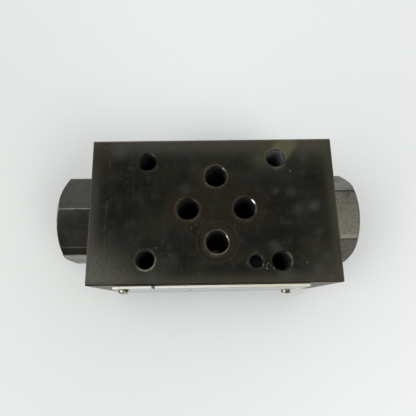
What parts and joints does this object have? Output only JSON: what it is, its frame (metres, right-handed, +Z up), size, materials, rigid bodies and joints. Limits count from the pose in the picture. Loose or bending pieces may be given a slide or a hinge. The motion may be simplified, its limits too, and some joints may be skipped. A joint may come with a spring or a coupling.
{
  "type": "hydraulic sandwich valve",
  "caption": "Modular hydraulic check valve block with a ported mounting face, hexagon end plugs, spring-loaded poppets and a pilot piston.",
  "frame": {"origin": "centre of the block's lower face, the one with the seal recesses", "axes": "+X along the main bore towards the shorter plug head, +Y away from the nameplate, +Z up to the face that carries the next valve"},
  "size_m": [0.0984, 0.0478, 0.04],
  "materials": {
    "body": "blackened, oily satin, with worn edges",
    "plug": "plated steel, stained and rubbed",
    "hardened": "hardened and ground",
    "spring": "drawn spring wire",
    "seal": "black nitrile rubber",
    "plate": "bare sheet, lightly brushed",
    "screw": "yellow, dulled"
  },
  "bodies": {
    "root": {"valve_body": "body", "left_plug": "plug", "right_plug": "plug", "left_seat": "hardened", "right_seat": "hardened", "left_spring": "spring", "right_spring": "spring", "left_plug_oring": "seal", "right_plug_oring": "seal", "left_seat_oring": "seal", "right_seat_oring": "seal", "port_p_oring": "seal", "port_t_oring": "seal", "port_a_oring": "seal", "port_b_oring": "seal", "name_plate": "plate", "upper_plate_screw": "screw", "lower_plate_screw": "screw"},
    "left_check": {"left_poppet": "hardened"},
    "right_check": {"right_poppet": "hardened"},
    "pilot": {"pilot_piston": "hardened"}
  },
  "joints": [
    {"name": "left_poppet_lift", "type": "slide", "parent": "root", "child": "left_check", "axis": [-1, 0, 0], "range_m": [0, 0.0025], "stiffness_N_per_m": 1500, "springref_m": -0.005, "deforming": ["left_spring"]},
    {"name": "right_poppet_lift", "type": "slide", "parent": "root", "child": "right_check", "axis": [1, 0, 0], "range_m": [0, 0.0025], "stiffness_N_per_m": 1500, "springref_m": -0.005, "deforming": ["right_spring"]},
    {"name": "pilot_piston_slide", "type": "slide", "parent": "root", "child": "pilot", "axis": [1, 0, 0], "range_m": [-0.0009, 0.0009]}
  ]
}
